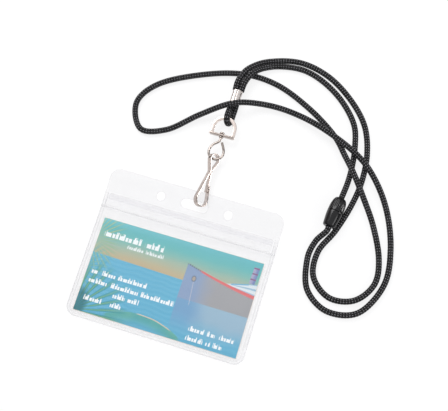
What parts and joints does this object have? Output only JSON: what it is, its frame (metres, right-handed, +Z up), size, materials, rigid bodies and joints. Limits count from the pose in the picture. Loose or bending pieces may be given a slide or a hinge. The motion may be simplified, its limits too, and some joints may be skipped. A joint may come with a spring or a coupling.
{
  "type": "neck lanyard with badge holder",
  "caption": "Black cord neck lanyard with a breakaway barrel, a swivel snap hook and a clear resealable badge holder with a card.",
  "frame": {"origin": "centre of the badge holder's flat back, on the table", "axes": "+X along the holder's long edge, +Y from the holder towards the hook, +Z up from the table"},
  "size_m": [0.1722, 0.1844, 0.0096],
  "materials": {
    "cord": "braided polyester cord, black",
    "crimp_plate": "bright nickel plate on folded sheet steel",
    "barrel_plastic": "glossy moulded black",
    "nickel_casting": "bright nickel plate on die-cast zinc",
    "nickel_wire": "bright nickel plate on steel wire",
    "nickel_spring": "bright nickel plate on spring-steel strip",
    "clear_vinyl": "clear soft vinyl sheet",
    "zip_vinyl": "clear extruded vinyl zip tape",
    "card": "printed glossy card"
  },
  "bodies": {
    "neck_loop": {"neck_cord_long": "cord", "neck_cord_short": "cord", "ring_loop": "cord", "pinched_cord": "cord", "cord_crimp": "crimp_plate", "barrel_socket": "barrel_plastic", "socket_knot": "cord"},
    "barrel_plug_half": {"barrel_plug": "barrel_plastic", "plug_knot": "cord"},
    "d_ring": {"d_ring": "nickel_casting"},
    "swivel": {"swivel_eye": "nickel_wire"},
    "hook": {"hook_strip": "nickel_spring"},
    "gate": {"hook_gate": "nickel_spring"},
    "holder": {"holder_back": "clear_vinyl", "holder_front": "clear_vinyl", "zip_ribs": "zip_vinyl"},
    "lip": {"pocket_lip": "clear_vinyl", "zip_grooves": "zip_vinyl"},
    "card": {"badge_card": "card"}
  },
  "joints": [
    {"name": "barrel_release", "type": "slide", "parent": "neck_loop", "child": "barrel_plug_half", "axis": [0.1392, 0.9903, 0], "range_m": [0, 0.008], "deforming": ["neck_cord_short"]},
    {"name": "ring_swing", "type": "hinge", "parent": "neck_loop", "child": "d_ring", "pos_m": [0.0036, 0.09148, 0.0044], "axis": [1, 0, 0], "range_deg": [-45, 45]},
    {"name": "swivel_spin", "type": "hinge", "parent": "d_ring", "child": "swivel", "pos_m": [0.0026, 0.08024, 0.0044], "axis": [0, 1, 0], "continuous": true},
    {"name": "hook_swing", "type": "hinge", "parent": "swivel", "child": "hook", "pos_m": [0.0026, 0.06499, 0.0044], "axis": [0.7071, 0, 0.7071], "range_deg": [-45, 45]},
    {"name": "gate_flex", "type": "hinge", "parent": "hook", "child": "gate", "pos_m": [0.00288, 0.05674, 0.00412], "axis": [-0.7071, 0, -0.7071], "range_deg": [0, 16], "stiffness_Nm_per_rad": 0.1},
    {"name": "holder_swing", "type": "hinge", "parent": "hook", "child": "holder", "pos_m": [0.0026, 0.04099, 0.0044], "axis": [1, 0, 0], "range_deg": [-25, 8]},
    {"name": "lip_open", "type": "hinge", "parent": "holder", "child": "lip", "pos_m": [0, 0.0211, 0.00247], "axis": [1, 0, 0], "range_deg": [0, 40]},
    {"name": "card_slide", "type": "slide", "parent": "holder", "child": "card", "axis": [0, 1, 0], "range_m": [0, 0.003]}
  ]
}
